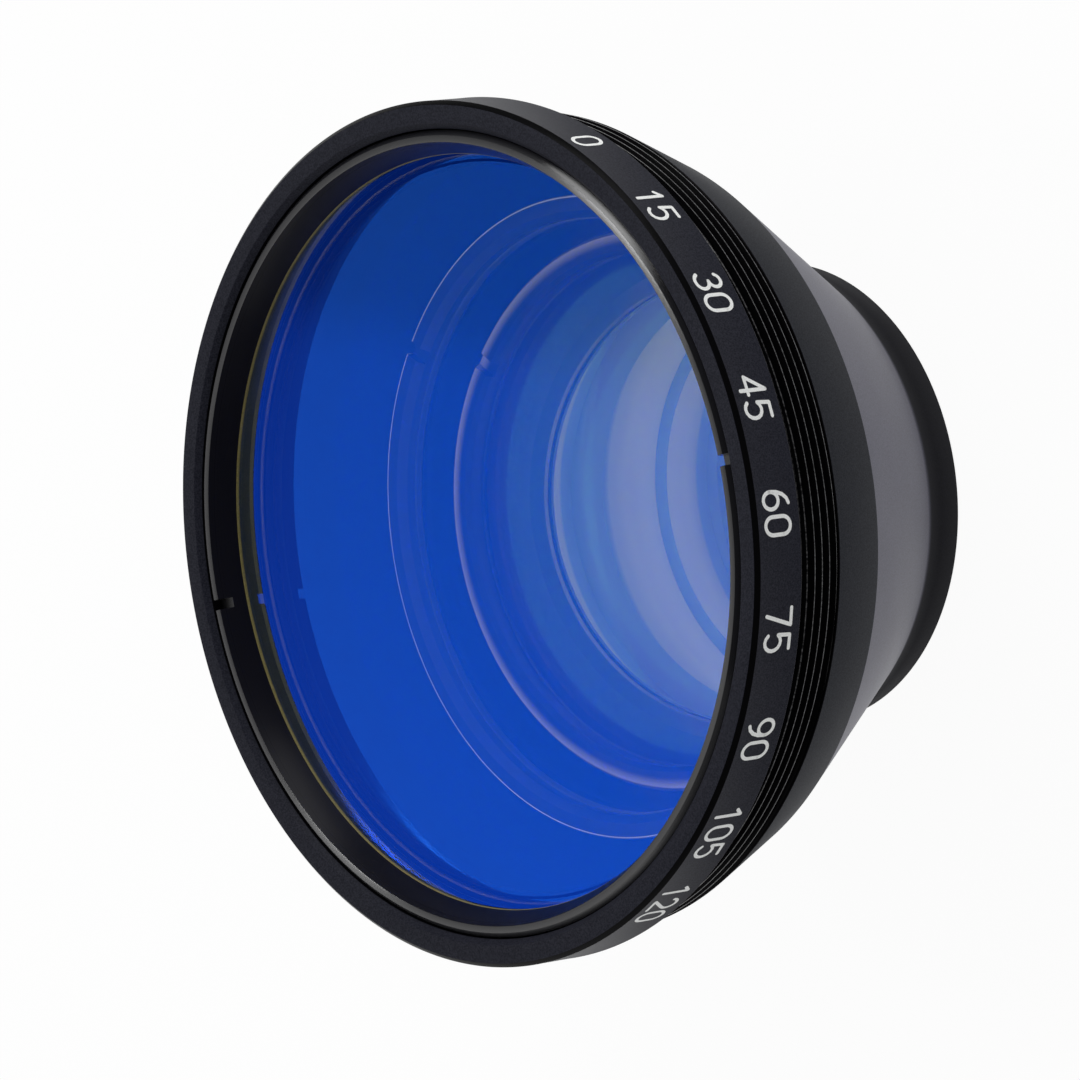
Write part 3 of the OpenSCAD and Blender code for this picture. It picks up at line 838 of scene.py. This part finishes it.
# The entrance lens's lands are painted pale blue and deep blue: painted light for the bright and blue zones
# seen through the lenses.
low_land_painted_light = ground_glass("ground_glass_land_painted_light", (0.56, 0.70, 0.94), (0.60, 0.74, 0.98), 0.0)
high_land_painted_blue_light = ground_glass("ground_glass_land_painted_blue_light", (0.24, 0.36, 0.72), (0.28, 0.42, 0.80), 0.0)
black_rubber = ground_glass("black_rubber", (0.008, 0.008, 0.008), (0.014, 0.014, 0.014))
white_fill = ground_glass("white_filled_marking", (0.72, 0.73, 0.72), (0.86, 0.87, 0.86))

# ---------------------------------------------------------------- pieces
BARREL_FINISHES = {
    "collar": rear_with_painted_sheen, "cone": black_cone, "thread": gloss_thread, "crest": crest_wear_and_painted_highlight,
    "flange": black_flange, "edge": bright_edge, "baffle": baffle_black, "throat": throat_painted_blue_glow,
    "lip": inner_ring_painted_highlight}
barrel_mesh = turned("barrel_body", barrel_columns(), list(BARREL_FINISHES), closed=False, around=False)
place("barrel_body", barrel_mesh, BARREL_FINISHES.values(), "barrel")
place("window_ring", window_ring_mesh(), [ring_black, ring_wall_black],
      "window_retaining_ring")
place("window_seal_film", gasket_mesh(), [amber_film], "window_gasket")
place("window_disc", window_mesh(), [window_glass, ground_edge], "protective_window")
place("window_seal_ring", o_ring_mesh(), [black_rubber], "window_o_ring")
for which, ring in (("front", FRONT_RING), ("middle", MIDDLE_RING), ("entrance", ENTRANCE_RING)):
    ring_name = f"{which}_lens_retaining_ring"
    place(f"{which}_lens_screw_ring", inner_ring_mesh(ring_name, ring),
          [inner_ring_black, inner_ring_painted_highlight, rim_painted_highlight], ring_name)
for which, lens, *finishes in (
        ("front", FRONT_LENS, front_glass, ground_edge, ground_edge, ground_edge),
        ("middle", MIDDLE_LENS, middle_glass, ground_edge, ground_edge, ground_edge),
        ("entrance", ENTRANCE_LENS, entrance_glass, low_land_painted_light, edge_painted_light, high_land_painted_blue_light)):
    lens_name = f"{which}_lens"
    place(f"{which}_element", lens_mesh(lens_name, lens), finishes, lens_name)
place("degree_figures", figures_mesh(), [white_fill], None)

# ---------------------------------------------------------------- floor, world, lamps and camera
PLAIN_LEVEL = 0.5
FLOOR_WHITE = 0.95
# In metres, like the lamps
FLOOR_REACH, FLOOR_DROP = 4.0, 0.00002
LAMP_AIM_Z = 0.03
# In a gloss one wall of the studio is paler than the other: which way it lies, where its soft edge runs,
# and the levels of the darker wall, past the edge and at its palest. The side towards -X is dim.
PALE_WALL = (0.39, 1.0, 0.0)
WALL_EDGE = (0.326, 0.338)
WALL_FADE = (0.30, 0.40)
WALL_LEVELS = (0.26, 0.52, 1.0)
DIM_SIDE = (-0.2, 0.4)
DIM_LEVEL = 0.15


def glossy_walls(tree):
    """The level of the studio walls as a gloss shows them."""
    where = add(tree, "ShaderNodeTexCoord").outputs["Generated"]
    across = add(tree, "ShaderNodeVectorMath", operation="DOT_PRODUCT")
    across.inputs[1].default_value = PALE_WALL
    tree.links.new(where, across.inputs[0])
    dark, past_edge, pale = WALL_LEVELS
    edge = ranged(tree, across.outputs["Value"], 0.0, past_edge - dark, *WALL_EDGE, "SMOOTHSTEP")
    fade = ranged(tree, across.outputs["Value"], 0.0, pale - past_edge, *WALL_FADE)
    level = worked_out(tree, "ADD", worked_out(tree, "ADD", edge, fade), dark)
    lit = ranged(tree, parted(tree, where)["X"], DIM_LEVEL, 1.0, *DIM_SIDE, "SMOOTHSTEP")
    return worked_out(tree, "MULTIPLY", level, lit)


def white_world():
    world = bpy.data.worlds.new("studio")
    bpy.context.scene.world = world
    world.use_nodes = True
    tree = world.node_tree
    tree.nodes.clear()
    out = add(tree, "ShaderNodeOutputWorld")
    sky = add(tree, "ShaderNodeBackground")
    sky.inputs["Color"].default_value = (1, 1, 1, 1)
    path = add(tree, "ShaderNodeLightPath").outputs
    straight = worked_out(tree, "MAXIMUM", path["Is Camera Ray"], path["Is Transmission Ray"])
    level = ranged(tree, path["Is Glossy Ray"], PLAIN_LEVEL, glossy_walls(tree))
    tree.links.new(ranged(tree, straight, level, 1.0), sky.inputs["Strength"])
    tree.links.new(sky.outputs["Background"], out.inputs["Surface"])


def floor():
    material, tree, out = blank_material("pale_floor")
    link = tree.links.new
    matt = add(tree, "ShaderNodeBsdfDiffuse")
    matt.inputs["Color"].default_value = (0.94, 0.94, 0.94, 1)
    white = add(tree, "ShaderNodeEmission")
    path = add(tree, "ShaderNodeLightPath").outputs
    seen = worked_out(tree, "MAXIMUM", path["Is Camera Ray"], path["Is Glossy Ray"])
    share = worked_out(tree, "MULTIPLY", seen, FLOOR_WHITE)
    mix = add(tree, "ShaderNodeMixShader")
    link(worked_out(tree, "MAXIMUM", share, path["Is Transmission Ray"]), mix.inputs["Fac"])
    link(matt.outputs["BSDF"], mix.inputs[1])
    link(white.outputs["Emission"], mix.inputs[2])
    link(mix.outputs["Shader"], out.inputs["Surface"])
    mesh = bpy.data.meshes.new("floor")
    corners = [(x * FLOOR_REACH, y * FLOOR_REACH, 0) for x, y in ((-1, -1), (1, -1), (1, 1), (-1, 1))]
    mesh.from_pydata(corners, [], [(0, 1, 2, 3)])
    mesh.materials.append(material)
    ground = bpy.data.objects.new("floor", mesh)
    ground.location.z = -FLOOR_DROP
    bpy.context.scene.collection.objects.link(ground)


def soft_lamp(name, direction, distance, size, power):
    """A square lamp that faces the part, and that glass doesn't show."""
    data = bpy.data.lights.new(name, "AREA")
    data.shape = "SQUARE"
    data.size = size
    data.energy = power
    lamp = bpy.data.objects.new(name, data)
    way = Vector(direction).normalized()
    lamp.location = way * distance + Vector((0, 0, LAMP_AIM_Z))
    lamp.rotation_euler = way.to_track_quat("Z", "Y").to_euler()
    lamp.visible_transmission = False
    bpy.context.scene.collection.objects.link(lamp)


# The line of sight leans off the optical axis and swings a little to one side of the X axis
VIEW_TILT, VIEW_SWING = math.radians(48.525), math.radians(4.862)
VIEW_DISTANCE, VIEW_RIGHT, VIEW_DOWN = 812.783, 8.4128, 0.4348
FOCAL_PIXELS, FRAME_PIXELS = 8000, 1080
SENSOR_W = 36


def camera():
    ahead = Vector((math.sin(VIEW_TILT) * math.cos(VIEW_SWING),
                    math.sin(VIEW_TILT) * math.sin(VIEW_SWING),
                    -math.cos(VIEW_TILT)))
    down = Vector((1, 0, 0)).cross(ahead).normalized()
    right = down.cross(ahead)
    place_at = Vector((0, 0, TOTAL)) + right * VIEW_RIGHT + down * VIEW_DOWN - ahead * VIEW_DISTANCE
    data = bpy.data.cameras.new("view")
    data.sensor_width = SENSOR_W
    data.lens = SENSOR_W * FOCAL_PIXELS / FRAME_PIXELS
    view = bpy.data.objects.new("view", data)
    turn = Matrix((right, -down, -ahead)).transposed().to_4x4()
    view.matrix_world = Matrix.Translation(place_at * MM) @ turn
    data.clip_start = 0.01
    data.clip_end = 20
    bpy.context.scene.collection.objects.link(view)
    bpy.context.scene.camera = view


white_world()
floor()
soft_lamp("key", (-0.30, -0.93, 0.15), 0.9, 0.5, 1.6)
soft_lamp("rim", (-0.10, 0.98, 0.12), 0.9, 0.5, 0.5)
soft_lamp("side", (0.07, -0.80, 0.59), 0.8, 0.4, 2.2)
soft_lamp("streak", (0.593, -0.134, 0.794), 0.8, 0.1, 0.7)
camera()
bpy.context.scene.view_settings.view_transform = "Standard"
